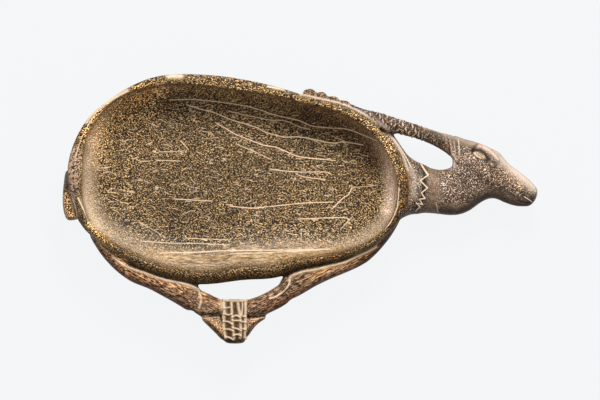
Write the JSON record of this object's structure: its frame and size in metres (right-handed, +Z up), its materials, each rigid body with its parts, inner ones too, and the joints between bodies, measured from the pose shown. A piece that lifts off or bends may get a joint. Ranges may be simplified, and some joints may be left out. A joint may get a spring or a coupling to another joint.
{
  "type": "carved stone cosmetic dish",
  "caption": "Shallow oval stone cosmetic dish carved as a trussed ibex lying on its side, with bound legs and horns swept back to the rim.",
  "frame": {"origin": "centre of the flat resting face under the bowl", "axes": "+X along the dish towards the head, +Y across it towards the horns' side, +Z up out of the open bowl"},
  "size_m": [0.166, 0.0944, 0.02],
  "materials": {
    "bowl_stone": "ground and rubbed smooth, finely flecked",
    "limb_stone": "ground smooth and polished by handling",
    "dark_stone": "incised, with pale rubbed ridges"
  },
  "bodies": {
    "root": {"bowl": "bowl_stone", "tail": "limb_stone", "lashing": "limb_stone", "near_thigh": "limb_stone", "near_upper_foreleg": "limb_stone", "near_hind_shank": "limb_stone", "near_fore_shank": "limb_stone", "near_hind_hoof": "limb_stone", "near_fore_hoof": "limb_stone", "far_thigh": "limb_stone", "far_upper_foreleg": "limb_stone", "far_hind_shank": "limb_stone", "far_fore_shank": "limb_stone", "far_hind_hoof": "limb_stone", "far_fore_hoof": "limb_stone", "shoulder": "limb_stone", "collar": "dark_stone", "neck": "limb_stone", "head": "limb_stone", "near_horn": "dark_stone", "far_horn": "dark_stone", "near_ear": "limb_stone", "far_ear": "limb_stone"}
  },
  "joints": []
}
